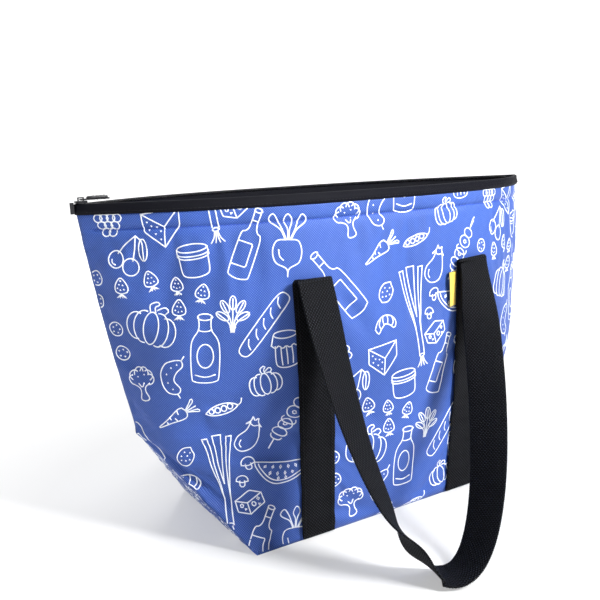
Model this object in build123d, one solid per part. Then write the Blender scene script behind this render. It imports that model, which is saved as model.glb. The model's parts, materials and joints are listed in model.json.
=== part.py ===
from build123d import *
import math
import os

import numpy as np

# Zip-top insulated tote bag.  Millimetres, +Z up, the bag stands on Z = 0, its width runs along X
# and its front faces -Y.  The walls are three sewn layers (printed shell, foam, foil lining).

# ---- driving dimensions ---------------------------------------------------------------------
RIM_WIDTH = 480.0        # straight distance between the two rim corners
RIM_DEPTH = 190.0        # open mouth, front to back, at the middle
RIM_Z = 294.0            # top of the zip tape
BASE_LENGTH = 278.0
BASE_DEPTH = 156.0
GUSSET_X = 412.0         # width over the two raised gusset corners
GUSSET_Z = 99.0          # height of the raised gusset corners
WALL_PUFF = 5.0          # how far the walls belly out half way up
SIDE_PUFF = 2.5          # the same for the side seams
CORNER_LOW = 5.0         # how square the wall turns its corners at the base
CORNER_HIGH = 2.8        # and at the rim

SHELL_T = 0.8            # printed fabric
FOAM_T = 3.0
LINING_T = 0.4
TAPE_T = 0.8             # zip tape, also the squashed foam under the top seam
TAPE_SHOWN = 11.0        # tape standing above the fabric
TAPE_SEWN = 6.0          # tape caught between shell and lining
COIL_H = 3.0
COIL_T = 2.4
COIL_GAP = 0.05          # between the coil and the top edge of its tape

WEB_W = 32.0             # handle webbing
WEB_T = 1.6
LEG_X = 79.5             # middle of a sewn handle leg at the base
LEG_SPREAD = 4.0         # extra distance from the middle at the fold
FOLD_Z = 224.0           # height where the webbing leaves the wall
HINGE_GAP = 1.6          # from the sewn leg out to the line that a loop swings about
FOLD_R = 2.3             # the webbing folds over at this radius about that line

# free loops: the lowest point, and the two points that pull each half of the loop into its curve
LOOP_FOOT = {"front": (-42, -193, 4.6), "back": (0, 206, 3.6)}
LOOP_PULL = {
    ("front", "right"): ((87, -102, 159), (3, -230, -10)),
    ("front", "left"): ((-84, -129, 142), (-86, -167, 50)),
    ("back", "right"): ((96, 122, 130), (92, 188, 14)),
    ("back", "left"): ((-96, 122, 130), (-92, 188, 14)),
}
# how far each half turns its width, from along the wall at the fold to the foot, and how soon
LOOP_TURN = {("front", "right"): 112, ("front", "left"): 68, ("back", "right"): 90, ("back", "left"): 90}
LOOP_EASE = {("front", "right"): 0.7, ("front", "left"): 1.2, ("back", "right"): 1.6, ("back", "left"): 1.6}
STRAP_STEPS = 18

# how finely the walls are faceted: shares of the way from a handle leg out to the side seam,
# rows between the gusset and the fold, and strips across the base
OUTER_SHARES = (0.3, 0.6, 0.85, 1.0)
ROW_SHARES = (0.33, 0.67)
N_DEEP = 4

LABEL_W, LABEL_H, LABEL_T = 8.5, 31.0, 0.7
LABEL_Z = 216.0
LABEL_GAP = 0.5
TIP_L, TIP_T, TIP_H = 3.0, 1.5, 9.0
TIP_GAP, TIP_UP = 0.3, 1.0                      # beside the rim corner, and above the rim
SLIDER_X = -234.5
SLIDER_L, SLIDER_W, SLIDER_H, SLIDER_R = 9.0, 10.0, 1.8, 2.5
SLIDER_GAP = 0.2                                # the plate rides this far above the coils
WEDGE_L, WEDGE_W, WEDGE_H = 1.6, 0.8, 3.4       # post between the two coils
BRIDGE_L, BRIDGE_W, BRIDGE_H, BRIDGE_T = 5.0, 1.4, 2.9, 0.9
PULL_L, PULL_W, PULL_T, PULL_R = 22.5, 5.2, 1.2, 1.0
ARM_L, ARM_W = 4.5, 1.1                         # the two arms that hold the cross bar

os.makedirs("parts", exist_ok=True)

WALL_TOP = RIM_Z - TAPE_SHOWN
TAPE_FOOT = WALL_TOP - TAPE_SEWN
SEAM_Z = TAPE_FOOT - 5.0
FOAM_FULL = SEAM_Z - 7.0
TAPE_TOP = RIM_Z - COIL_H


def lerp(a, b, t):
    return a + (b - a) * t


# ---- outside form of the bag ----------------------------------------------------------------
def half_width(z):
    if z <= GUSSET_Z:
        return lerp(BASE_LENGTH, GUSSET_X, z / GUSSET_Z) / 2
    t = (z - GUSSET_Z) / (RIM_Z - GUSSET_Z)
    return lerp(GUSSET_X, RIM_WIDTH, t) / 2 + SIDE_PUFF * math.sin(math.pi * t)


def side_depth(z):
    return max(0.0, BASE_DEPTH / 2 * (1 - z / GUSSET_Z))


def wall_y(x, z):
    """Distance of the wall from the middle plane, at width x and height z."""
    t = z / RIM_Z
    u = min(1.0, abs(x) / half_width(z))
    middle = lerp(BASE_DEPTH, RIM_DEPTH, t) / 2 + WALL_PUFF * math.sin(math.pi * min(1, t))
    power = lerp(CORNER_LOW, CORNER_HIGH, t)
    return side_depth(z) + (middle - side_depth(z)) * (1 - u ** power)


def leg_mid(z):
    return LEG_X + LEG_SPREAD * min(1.0, z / FOLD_Z)


def columns(z):
    """Stations across a wall; the sewn legs fall between two of them."""
    mid, end = leg_mid(z), half_width(z)
    inner, outer = mid - WEB_W / 2, mid + WEB_W / 2
    right = [0.0, inner / 2, inner, outer]
    right += [lerp(outer, end, k) for k in OUTER_SHARES]
    return [-x for x in reversed(right[1:])] + right


N_COL = len(columns(0.0))
LEG_COL = {"left": 4, "right": 9}
ROWS = [0.0, GUSSET_Z / 3, GUSSET_Z * 2 / 3, GUSSET_Z]
ROWS += [lerp(GUSSET_Z, FOLD_Z, k) for k in ROW_SHARES]
ROWS += [FOLD_Z, (FOLD_Z + FOAM_FULL) / 2, FOAM_FULL, SEAM_Z, TAPE_FOOT, WALL_TOP, TAPE_TOP, RIM_Z]
row = {z: i for i, z in enumerate(ROWS)}

# one mesh carries the whole bag, so that neighbouring pieces share their seams exactly
points, index = [], {}


def node(p):
    key = tuple(round(c, 4) for c in p)
    if key not in index:
        index[key] = len(points)
        points.append(Vector(*key))
    return index[key]


def quad(a, b, c, d):
    """Two triangles, skipping the ones that collapse."""
    return [t for t in ((a, b, c), (a, c, d)) if len(set(t)) == 3]


wall = {}
for side, sign in (("front", -1), ("back", 1)):
    grid = [[node((x, sign * wall_y(x, z), z)) for x in columns(z)] for z in ROWS]
    cells = {}
    for r in range(len(ROWS) - 1):
        for c in range(N_COL - 1):
            cell = quad(grid[r][c], grid[r][c + 1], grid[r + 1][c + 1], grid[r + 1][c])
            cells[r, c] = cell if sign < 0 else [(p, q, s) for p, s, q in cell]
    wall[side] = cells

# base: a flat rectangle whose ends rise as triangles to the gusset corners
def deep(z, x):
    return [node((x, lerp(-1, 1, k / N_DEEP) * side_depth(z), z)) for k in range(N_DEEP + 1)]


strips = [deep(0.0, x) for x in columns(0.0)]
rise = [(z, half_width(z)) for z in ROWS[1:row[GUSSET_Z] + 1]]
strips = ([deep(z, -x) for z, x in reversed(rise)] + strips + [deep(z, x) for z, x in rise])
base = []
for a, b in zip(strips, strips[1:]):
    for k in range(N_DEEP):
        base += quad(a[k], a[k + 1], b[k + 1], b[k])


def cells_of(side, z0, z1, c0=0, c1=N_COL - 1):
    return [t for r in range(row[z0], row[z1]) for c in range(c0, c1) for t in wall[side][r, c]]


# ---- inward direction at every mesh point ---------------------------------------------------
everything = cells_of("front", 0.0, RIM_Z) + cells_of("back", 0.0, RIM_Z) + base
around = [[] for _ in points]
for tri in everything:
    a, b, c = (points[i] for i in tri)
    n = (b - a).cross(c - a).normalized()
    for i in tri:
        around[i].append((n.X, n.Y, n.Z))


def outward(i):
    """Miter at a mesh point: one unit along it is one unit off every face that meets there."""
    normals = np.array(around[i])
    if points[i].Z > SEAM_Z:
        normals[:, 2] = 0
        normals /= np.linalg.norm(normals, axis=1)[:, None]
    mean = normals.mean(axis=0)
    mean /= np.linalg.norm(mean)
    soft = 0.05
    square = normals.T @ normals + soft * np.eye(3)
    miter = np.linalg.solve(square, normals.sum(axis=0) + soft * mean)
    return Vector(*(float(v) for v in miter))


direction = [outward(i) for i in range(len(points))]


def core(z):
    """Foam thickness, squashed flat where the top seam is sewn."""
    return TAPE_T if z >= SEAM_Z - 0.01 else FOAM_T


def layer(i, name):
    depth = {"web": -WEB_T, "skin": 0.0, "shell": SHELL_T, "core": SHELL_T + core(points[i].Z),
             "lining": SHELL_T + core(points[i].Z) + LINING_T,
             "coil_out": 0.0, "coil_in": COIL_T}[name]
    moved = points[i] - direction[i] * depth
    return Vector(moved.X, moved.Y, max(0.0, moved.Z))


def solid_of(triangles):
    """Closed flat-faced solid from corner triples."""
    body = Solid(Shell([Face(Wire.make_polygon(list(t), close=True)) for t in triangles]))
    if body.volume < 0:
        body = Solid(body.wrapped.Reversed())
    return body


def between(tris, outer, inner):
    """Solid filling the gap between two layers of the same patch."""
    out = [tuple(layer(i, outer) for i in t) for t in tris]
    out += [tuple(layer(i, inner) for i in reversed(t)) for t in tris]
    edges = {(p, q) for t in tris for p, q in zip(t, t[1:] + t[:1])}
    for p, q in sorted(edges):
        if (q, p) in edges:
            continue
        a, b, c, d = layer(q, outer), layer(p, outer), layer(p, inner), layer(q, inner)
        if p < q:
            out += [(b, c, d), (b, d, a)]
        else:
            out += [(a, b, c), (a, c, d)]
    return solid_of(out)


def strip(stations):
    """Flat-faced ribbon from four-corner cross-sections."""
    out = []
    for s, t in zip(stations, stations[1:]):
        # opposite faces split along the same diagonal, so a twisting ribbon keeps its thickness
        for k in (0, 1):
            out += [(s[k], s[k + 1], t[k + 1]), (s[k], t[k + 1], t[k])]
        for k, m in ((2, 3), (3, 0)):
            out += [(s[k], s[m], t[k]), (s[m], t[m], t[k])]
    for s, flip in ((stations[0], True), (stations[-1], False)):
        caps = [(s[0], s[1], s[2]), (s[0], s[2], s[3])]
        out += [tuple(reversed(c)) if flip else c for c in caps]
    return solid_of(out)


parts = {}
for side in ("front", "back"):
    parts[f"shell_{side}"] = between(cells_of(side, 0.0, WALL_TOP), "skin", "shell")
    parts[f"foam_{side}"] = between(cells_of(side, 0.0, TAPE_FOOT), "shell", "core")
    parts[f"lining_{side}"] = between(cells_of(side, 0.0, WALL_TOP), "core", "lining")
    parts[f"zip_tape_{side}"] = between(cells_of(side, TAPE_FOOT, TAPE_TOP), "shell", "core")
    for end, c in LEG_COL.items():
        patch = cells_of(side, 0.0, FOLD_Z, c, c + 1)
        parts[f"handle_leg_{side}_{end}"] = between(patch, "web", "skin")
parts["shell_base"] = between(base, "skin", "shell")
parts["foam_base"] = between(base, "shell", "core")
parts["lining_base"] = between(base, "core", "lining")

# ---- zip coil: a bead along the top edge of each tape ---------------------------------------
for side, sign in (("front", -1), ("back", 1)):
    stations = []
    for x in columns(RIM_Z)[1:-1]:
        i = node((x, sign * wall_y(x, RIM_Z), RIM_Z))
        out, inn = layer(i, "coil_out"), layer(i, "coil_in")
        low = TAPE_TOP + COIL_GAP
        stations.append([Vector(out.X, out.Y, low), Vector(inn.X, inn.Y, low),
                         Vector(inn.X, inn.Y, RIM_Z), Vector(out.X, out.Y, RIM_Z)])
    parts[f"zip_coil_{side}"] = strip(stations)

# ---- free handle loops ----------------------------------------------------------------------
def bezier(p, t):
    k = (1 - t) ** 3, 3 * t * (1 - t) ** 2, 3 * t * t * (1 - t), t ** 3
    return sum((q * w for q, w in zip(p, k)), Vector(0, 0, 0))


def webbing(path, across):
    """Cross-sections of webbing that follows a path with a given width direction."""
    out = []
    for k, (p, w) in enumerate(zip(path, across)):
        a, b = path[max(0, k - 1)], path[min(len(path) - 1, k + 1)]
        along = (b - a).normalized()
        w = (w - along * w.dot(along)).normalized()
        n = along.cross(w).normalized() * (WEB_T / 2)
        e = w * (WEB_W / 2)
        out.append([p - e - n, p + e - n, p + e + n, p - e + n])
    return out


HINGE_Y = wall_y(leg_mid(FOLD_Z) - WEB_W / 2, FOLD_Z) + WEB_T + HINGE_GAP


def fold_point(side, end):
    """Where the middle of the webbing starts down from the fold."""
    x, y = leg_mid(FOLD_Z), HINGE_Y + FOLD_R
    return Vector(x if end == "right" else -x, -y if side == "front" else y, FOLD_Z)


def strap(side, end, sx, sign):
    """Half a loop, from the fold down to the foot, turning its width out of the wall's plane."""
    run = [fold_point(side, end)] + [Vector(*p) for p in (*LOOP_PULL[side, end], LOOP_FOOT[side])]
    shares = [k / STRAP_STEPS for k in range(STRAP_STEPS + 1)]
    turn, ease = math.radians(LOOP_TURN[side, end]), LOOP_EASE[side, end]
    across = [Vector(sx * math.cos(turn * t ** ease), sign * math.sin(turn * t ** ease), 0) for t in shares]
    return [bezier(run, t) for t in shares], across


for side, sign in (("front", -1), ("back", 1)):
    path, across = strap(side, "right", 1, sign)
    other, other_across = strap(side, "left", -1, sign)
    parts[f"handle_loop_{side}"] = strip(webbing(path + other[-2::-1], across + other_across[-2::-1]))

# ---- label in the seam of the front right leg -----------------------------------------------
corners = []
for z in (LABEL_Z - LABEL_H, LABEL_Z):
    inner = leg_mid(z) - WEB_W / 2 - LABEL_GAP
    y_out, y_in = wall_y(inner - LABEL_W, z) + LABEL_GAP, wall_y(inner, z) + LABEL_GAP
    corners.append([Vector(inner - LABEL_W, -y_out - LABEL_T, z), Vector(inner, -y_in - LABEL_T, z),
                    Vector(inner, -y_in, z), Vector(inner - LABEL_W, -y_out, z)])
parts["label"] = strip(corners)

# ---- zip end, slider and pull at the left corner --------------------------------------------
tip_x = -(RIM_WIDTH + TIP_L) / 2 - TIP_GAP
parts["zip_end_tip"] = (Pos(tip_x, 0, RIM_Z + TIP_UP - TIP_H / 2) * Box(TIP_L, TIP_T, TIP_H)).solid()

slider_top = RIM_Z + SLIDER_GAP + SLIDER_H
slider = Pos(SLIDER_X, 0, slider_top - SLIDER_H / 2) * Box(SLIDER_L, SLIDER_W, SLIDER_H)
slider = fillet(slider.edges().filter_by(Axis.Z), SLIDER_R)
wedge_z = slider_top - SLIDER_H / 2 - WEDGE_H / 2
slider += Pos(SLIDER_X + SLIDER_L / 3, 0, wedge_z) * Box(WEDGE_L, WEDGE_W, WEDGE_H)
above = (Align.CENTER, Align.CENTER, Align.MIN)
bridge = Box(BRIDGE_L, BRIDGE_W, BRIDGE_H, align=above)
bridge -= Box(BRIDGE_L - 2 * BRIDGE_T, BRIDGE_W, BRIDGE_H - BRIDGE_T, align=above)
slider += Pos(SLIDER_X, 0, slider_top) * bridge
parts["zip_slider"] = slider.solid()

# the pull hangs by a cross bar under the bridge
hinge_z = slider_top + (BRIDGE_H - BRIDGE_T) / 2
onward = (Align.MIN, Align.CENTER, Align.CENTER)
plate = Box(PULL_L - ARM_L, PULL_W, PULL_T, align=onward)
plate = fillet(plate.edges().filter_by(Axis.Z), PULL_R)
tab = Pos(SLIDER_X, 0, hinge_z) * Rot(90, 0, 0) * Cylinder(PULL_T / 2, PULL_W)
tab += Pos(SLIDER_X + ARM_L, 0, hinge_z) * plate
for y in (-1, 1):
    tab += Pos(SLIDER_X, y * (PULL_W - ARM_W) / 2, hinge_z) * Box(ARM_L, ARM_W, PULL_T, align=onward)
parts["zip_pull"] = tab.solid()

print("handle hinge lines at Y", round(HINGE_Y, 3), "Z", FOLD_Z)
print("pull hinge at X", SLIDER_X, "Z", hinge_z)
for name, body in parts.items():
    print(name, round(body.volume), body.is_valid)
    export_step(body, f"parts/{name}.step")
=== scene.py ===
import json
import math

import bpy
import numpy as np
from mathutils import Matrix, Vector, noise


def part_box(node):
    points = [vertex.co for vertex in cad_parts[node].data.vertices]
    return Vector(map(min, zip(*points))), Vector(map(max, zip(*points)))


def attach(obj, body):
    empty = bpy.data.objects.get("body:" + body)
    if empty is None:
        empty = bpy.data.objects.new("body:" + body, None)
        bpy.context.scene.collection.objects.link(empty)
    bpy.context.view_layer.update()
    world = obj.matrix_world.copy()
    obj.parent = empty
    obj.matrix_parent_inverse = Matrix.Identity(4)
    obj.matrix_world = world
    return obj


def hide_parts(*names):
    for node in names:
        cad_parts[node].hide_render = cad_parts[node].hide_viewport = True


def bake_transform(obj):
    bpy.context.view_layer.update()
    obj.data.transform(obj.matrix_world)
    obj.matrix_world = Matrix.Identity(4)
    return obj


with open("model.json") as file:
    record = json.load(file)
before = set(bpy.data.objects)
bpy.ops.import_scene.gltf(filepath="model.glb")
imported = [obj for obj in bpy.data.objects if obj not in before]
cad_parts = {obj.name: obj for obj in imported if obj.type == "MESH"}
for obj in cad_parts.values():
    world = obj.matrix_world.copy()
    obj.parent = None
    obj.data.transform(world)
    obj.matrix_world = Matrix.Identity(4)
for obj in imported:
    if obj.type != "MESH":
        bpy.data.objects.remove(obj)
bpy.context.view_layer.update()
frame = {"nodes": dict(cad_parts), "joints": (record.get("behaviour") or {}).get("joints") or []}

# A zip-top insulated tote bag: printed shell, foam, foil lining, zip and webbing handles.
# Metres, +Z up; the bag stands on Z = 0, its width runs along X and its front faces -Y.
MM = 0.001
SIDES = {"front": -1, "back": 1}     # the two walls, and which way along Y each faces
ENDS = {"left": -1, "right": 1}      # the two ends of a wall, and which way along X each lies

# ---- sizes of the bag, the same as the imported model's ----
RIM_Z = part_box("zip_coil_front")[1].z
WALL_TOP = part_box("shell_front")[1].z
TAPE_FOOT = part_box("zip_tape_front")[0].z
FOLD_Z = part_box("handle_leg_front_left")[1].z
RIM_WIDTH = 480 * MM
RIM_DEPTH = 190 * MM
BASE_LENGTH = 278 * MM
BASE_DEPTH = 156 * MM
GUSSET_X = 412 * MM
GUSSET_Z = 99 * MM
WALL_PUFF = 5 * MM
SIDE_PUFF = 2.5 * MM
ROUND_FOOT, ROUND_RIM = 5.0, 2.8     # how squarely a wall turns to its side seams
SHELL_T = 0.8 * MM
FOAM_T = 3.0 * MM
THIN_FOAM = 0.8 * MM
LINING_T = 0.4 * MM
WEB_W = 32 * MM
WEB_T = 1.6 * MM
LEG_X = 79.5 * MM
LEG_SPREAD = 4 * MM
CREASE_Z = 264 * MM      # full foam ends here
THIN_Z = 272 * MM        # the three layers are sewn flat together from here up
SEAM_Z = 273 * MM        # the row of stitches that holds them
BAND = 8.8 * MM          # height of the zip's band as seen from outside
SKIN_TOP = RIM_Z - BAND + 1.2 * MM
STEP = 3 * MM            # spacing of the fine surface grids
FINE_STEP = 0.8 * MM     # the same close to the sewn crease
CORNER = 24 * MM         # height over which the inner layers draw in to the base corners
CORNER_LIFT = 2.6 * MM
CORNER_DRAW = 0.014
BASE_INNER = 0.955       # width of the base's inner layers, as a share of its shell's
FOAM_GAP = 0.05 * MM     # kept free between the foam and its neighbours
FOIL_GAP = 0.1 * MM
SIM_STEP = 6 * MM        # spacing of the grid that the cloth settles on
COLS = 84                # its columns across a wall, and across the base
DEEP = 24
SAMPLES = 200


def lerp(a, b, t):
    return a + (b - a) * t


def smooth(t):
    t = np.clip(t, 0, 1)
    return t * t * (3 - 2 * t)


def unit(v):
    return v / np.maximum(np.linalg.norm(v, axis=-1, keepdims=True), 1e-12)


def square_to(wide, travel):
    """Unit directions nearest to wide that are square to travel."""
    return unit(wide - travel * np.sum(wide * travel, axis=1, keepdims=True))


def travelled(path):
    """Distance gone along a path at each of its points."""
    return np.concatenate([[0], np.cumsum(np.linalg.norm(np.diff(path, axis=0), axis=1))])


def at_distances(d, gone, values):
    """Each column of values, read at distances d along the path."""
    return np.stack([np.interp(d, gone, column) for column in values.T], -1)


def half_width(z):
    t = np.clip((z - GUSSET_Z) / (RIM_Z - GUSSET_Z), 0, 1)
    upper = lerp(GUSSET_X, RIM_WIDTH, t) / 2 + SIDE_PUFF * np.sin(np.pi * t)
    return np.where(z <= GUSSET_Z, lerp(BASE_LENGTH, GUSSET_X, z / GUSSET_Z) / 2, upper)


def side_depth(z):
    return np.maximum(0, BASE_DEPTH / 2 * (1 - z / GUSSET_Z))


def wall_y(x, z):
    """Distance of a wall from the middle plane."""
    t = z / RIM_Z
    u = np.minimum(1, np.abs(x) / half_width(z))
    middle = lerp(BASE_DEPTH, RIM_DEPTH, t) / 2 + WALL_PUFF * np.sin(np.pi * np.minimum(1, t))
    return side_depth(z) + (middle - side_depth(z)) * (1 - u ** lerp(ROUND_FOOT, ROUND_RIM, t))


def leg_mid(z):
    return LEG_X + LEG_SPREAD * np.minimum(1, z / FOLD_Z)


# ---- the walls laid flat: distance along the cloth from the middle, and height ----
LOW_ROWS = round(GUSSET_Z / SIM_STEP)
HIGH_ROWS = round((RIM_Z - GUSSET_Z) / SIM_STEP)
Z_ROWS = np.concatenate([np.linspace(0, GUSSET_Z, LOW_ROWS + 1),
                         np.linspace(GUSSET_Z, RIM_Z, HIGH_ROWS + 1)[1:]])
ACROSS = np.linspace(-1, 1, COLS + 1)


def arc_table(z):
    x = np.linspace(0, float(half_width(z)), SAMPLES)
    y = wall_y(x, z)
    return x, np.concatenate([[0], np.cumsum(np.hypot(np.diff(x), np.diff(y)))])


TABLES = [arc_table(z) for z in Z_ROWS]
SPANS = np.array([arc[-1] for _, arc in TABLES])


def span(z):
    """Cloth width from the middle to the side seam."""
    return np.interp(z, Z_ROWS, SPANS)


def row_of(z):
    return np.interp(z, Z_ROWS, np.arange(len(Z_ROWS)))


def flat_of(x, z):
    """Distance along the cloth of the point at width x."""
    row = float(row_of(z))
    low = min(int(row), len(Z_ROWS) - 2)
    a, b = (np.interp(abs(x), *TABLES[r]) / SPANS[r] for r in (low, low + 1))
    return math.copysign(lerp(a, b, row - low) * float(span(z)), x)


def wall_grid(sign):
    rows = []
    for z, (x, arc) in zip(Z_ROWS, TABLES):
        wide = np.sign(ACROSS) * np.interp(np.abs(ACROSS) * arc[-1], arc, x)
        rows.append(np.stack([wide, sign * wall_y(wide, z), np.full_like(wide, z)], 1))
    return np.array(rows)


def base_grid():
    """The bottom: a flat rectangle whose two ends rise as triangles."""
    rise = [(float(half_width(z)), z) for z in Z_ROWS[1:LOW_ROWS + 1]]
    flat = [(x, 0.0) for x in wall_grid(1)[0, :, 0]]
    spine = [(-x, z) for x, z in reversed(rise)] + flat + rise
    k = np.linspace(-1, 1, DEEP + 1)
    return np.array([np.stack([np.full_like(k, x), k * side_depth(z), np.full_like(k, z)], 1)
                     for x, z in spine])


# ---- the sewn bag as one cloth ----
grids = {side: wall_grid(sign) for side, sign in SIDES.items()} | {"base": base_grid()}
stack = np.concatenate([g.reshape(-1, 3) for g in grids.values()])
_, first, where = np.unique(np.round(stack, 6), axis=0, return_index=True, return_inverse=True)
rest = stack[first]
where = where.ravel()
index, start = {}, 0
for panel, g in grids.items():
    count = g.shape[0] * g.shape[1]
    index[panel] = where[start:start + count].reshape(g.shape[:2])
    start += count


def quads(ids, flip):
    a, b, c, d = ids[:-1, :-1], ids[:-1, 1:], ids[1:, 1:], ids[1:, :-1]
    order = (a, d, c, b) if flip else (a, b, c, d)
    return np.stack([q.ravel() for q in order], 1).tolist()


def closed_up(polygons):
    """Polygons without repeated corners, and without those that have closed to a line."""
    once = (list(dict.fromkeys(p)) for p in polygons)
    return [p for p in once if len(p) > 2]


faces = [f for panel in grids for f in closed_up(quads(index[panel], panel == "back"))]


def link(name, data):
    obj = bpy.data.objects.new(name, data)
    bpy.context.scene.collection.objects.link(obj)
    return obj


def mesh_object(name, points, polygons):
    mesh = bpy.data.meshes.new(name)
    mesh.from_pydata([tuple(p) for p in points], [], polygons)
    return link(name, mesh)


# how the settling cloth is held, from 0, free, to 1, fixed, and how it behaves
TOP_HOLD_FROM, TOP_HOLD_OVER = 6 * MM, 8 * MM        # starts this far below the crease
FLOOR_HOLD = 1 * MM
SIDE_HOLD, SIDE_REACH = 0.9, 7 * MM
LEG_HOLD = 0.8
CLOTH_FRAMES = 24
CLOTH = {"quality": 6, "mass": 0.3, "tension_stiffness": 25, "compression_stiffness": 25,
         "shear_stiffness": 8, "bending_stiffness": 1.5, "vertex_group_mass": "held",
         "pin_stiffness": 1.0, "shrink_min": -0.014, "use_pressure": True,
         "uniform_pressure_force": 1.2}
CLOTH_GRAVITY = 0.5
SETTLE_CAP = 6 * MM                                  # no point moves further than this
CALM_BELOW, CALM_OVER = 16 * MM, 12 * MM             # stillness that starts below the fold
CALM_WIDE = 1.6                                      # and its reach, in widths of the webbing


def settle(points):
    """Soft folds of a cloth held at its rim, seams and handle legs, filled from inside."""
    obj = mesh_object("settling", points, faces)
    x, z = np.abs(points[:, 0]), points[:, 2]
    near_leg = np.abs(x - leg_mid(z)) < WEB_W / 2
    hold = np.max([smooth((z - CREASE_Z + TOP_HOLD_FROM) / TOP_HOLD_OVER),
                   np.where(z < FLOOR_HOLD, 1.0, 0.0),
                   SIDE_HOLD * smooth(1 - (half_width(z) - x) / SIDE_REACH),
                   np.where(near_leg & (z < FOLD_Z), LEG_HOLD, 0.0)], axis=0)
    group = obj.vertex_groups.new(name="held")
    for i, h in enumerate(hold):
        group.add([i], float(h), "REPLACE")
    cloth = obj.modifiers.new("cloth", "CLOTH")
    for key, value in CLOTH.items():
        setattr(cloth.settings, key, value)
    cloth.settings.effector_weights.gravity = CLOTH_GRAVITY
    cloth.collision_settings.use_collision = False
    cloth.point_cache.frame_end = CLOTH_FRAMES
    scene = bpy.context.scene
    for frame_number in range(1, CLOTH_FRAMES + 1):
        scene.frame_set(frame_number)
    mesh = obj.evaluated_get(bpy.context.evaluated_depsgraph_get()).to_mesh()
    out = np.zeros(len(points) * 3, np.float32)
    mesh.vertices.foreach_get("co", out)
    scene.frame_set(1)
    bpy.data.objects.remove(obj)
    move = out.reshape(-1, 3) - points
    size = np.linalg.norm(move, axis=1, keepdims=True)
    move *= SETTLE_CAP * np.tanh(size / SETTLE_CAP) / np.maximum(size, 1e-9)
    across = smooth(CALM_WIDE - np.abs(x - leg_mid(FOLD_Z)) / WEB_W)
    move *= 1 - across[:, None] * smooth((z[:, None] - FOLD_Z + CALM_BELOW) / CALM_OVER)
    return points + move


# hollows pressed into the walls: distance along the cloth, height, radius, depth, in millimetres
HOLLOWS = {
    "front": [(-196, 226, 26, 4.2), (-176, 120, 34, 5.2), (-228, 176, 24, 3.6), (-128, 88, 26, 4.6),
              (-150, 160, 26, 2.8), (-118, 222, 28, 2.6), (-30, 120, 36, 3.6), (20, 205, 34, 3.0),
              (120, 130, 30, 3.8), (175, 190, 30, 3.2), (-172, 48, 24, 3.6), (14, 48, 28, 3.4)],
    "back": [(-150, 150, 38, 2.6), (-40, 110, 36, 2.4), (40, 190, 32, 1.8), (160, 100, 34, 2.6),
             (190, 180, 28, 2.0), (100, 44, 26, 1.8), (-185, 70, 28, 2.2)],
}
EDGE_FADE, FOOT_FADE, CREASE_FADE = 16 * MM, 24 * MM, 20 * MM
GROOVES = ((1.5 * MM, 3.6 * MM), (1.1 * MM, 1.1 * MM))   # depth and half width, at the seam
PUCKER, PUCKER_RUN, PUCKER_REACH = 0.25 * MM, 4.2 * MM, 6 * MM


def hollow(side, along, z):
    out = np.zeros_like(z)
    for x0, z0, radius, depth in HOLLOWS[side]:
        near = ((along / MM - x0) ** 2 + (z / MM - z0) ** 2) / radius ** 2
        out -= depth * MM * np.exp(-near)
    return out


settled = settle(rest)
SHARPEST = 0.6           # a mitre reaches at most one over this


def vertex_normals(points):
    """Mitred outward directions: a unit along one is a unit off every face round the point."""
    total = np.zeros_like(points)
    each = []
    for f in faces:
        p = points[f]
        sides = (p[1] - p[0], p[2] - p[0]) if len(f) == 3 else (p[2] - p[0], p[3] - p[1])
        n = np.cross(*sides)
        total[f] += n
        each.append(n / max(np.linalg.norm(n), 1e-12))
    total = unit(total)
    worst = np.ones(len(points))
    for f, n in zip(faces, each):
        worst[f] = np.minimum(worst[f], total[f] @ n)
    return total / np.clip(worst, SHARPEST, 1)[:, None]


normals = vertex_normals(settled)


class Surface:
    """A smooth surface through a grid of points."""

    def __init__(self, ids):
        self.shape = ids.shape
        self.points = self.pad(settled[ids])
        self.outward = self.pad(normals[ids])

    @staticmethod
    def pad(g):
        g = np.concatenate([2 * g[:1] - g[1:2], g, 2 * g[-1:] - g[-2:-1]], 0)
        return np.concatenate([2 * g[:, :1] - g[:, 1:2], g, 2 * g[:, -1:] - g[:, -2:-1]], 1)

    @staticmethod
    def weights(f):
        """Catmull-Rom shares of the four points round a stretch, f of the way along it."""
        return (-0.5 * f + f ** 2 - 0.5 * f ** 3, 1 - 2.5 * f ** 2 + 1.5 * f ** 3,
                0.5 * f + 2 * f ** 2 - 1.5 * f ** 3, -0.5 * f ** 2 + 0.5 * f ** 3)

    def at(self, row, col):
        row, col = np.broadcast_arrays(np.asarray(row, float), np.asarray(col, float))
        row = np.clip(row, 0, self.shape[0] - 1)
        col = np.clip(col, 0, self.shape[1] - 1)
        r = np.minimum(row.astype(int), self.shape[0] - 2)
        c = np.minimum(col.astype(int), self.shape[1] - 2)
        point, outward = 0, 0
        for i, wr in enumerate(self.weights(row - r)):
            for j, wc in enumerate(self.weights(col - c)):
                share = (wr * wc)[..., None]
                point = point + share * self.points[r + i, c + j]
                outward = outward + share * self.outward[r + i, c + j]
        return point, outward


surfaces = {panel: Surface(ids) for panel, ids in index.items()}


def noise_of(points, size, seed):
    shift = Vector((seed, seed, seed))
    flat = [noise.noise(Vector(p) / size + shift) for p in points.reshape(-1, 3)]
    return np.array(flat).reshape(points.shape[:-1])


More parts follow.
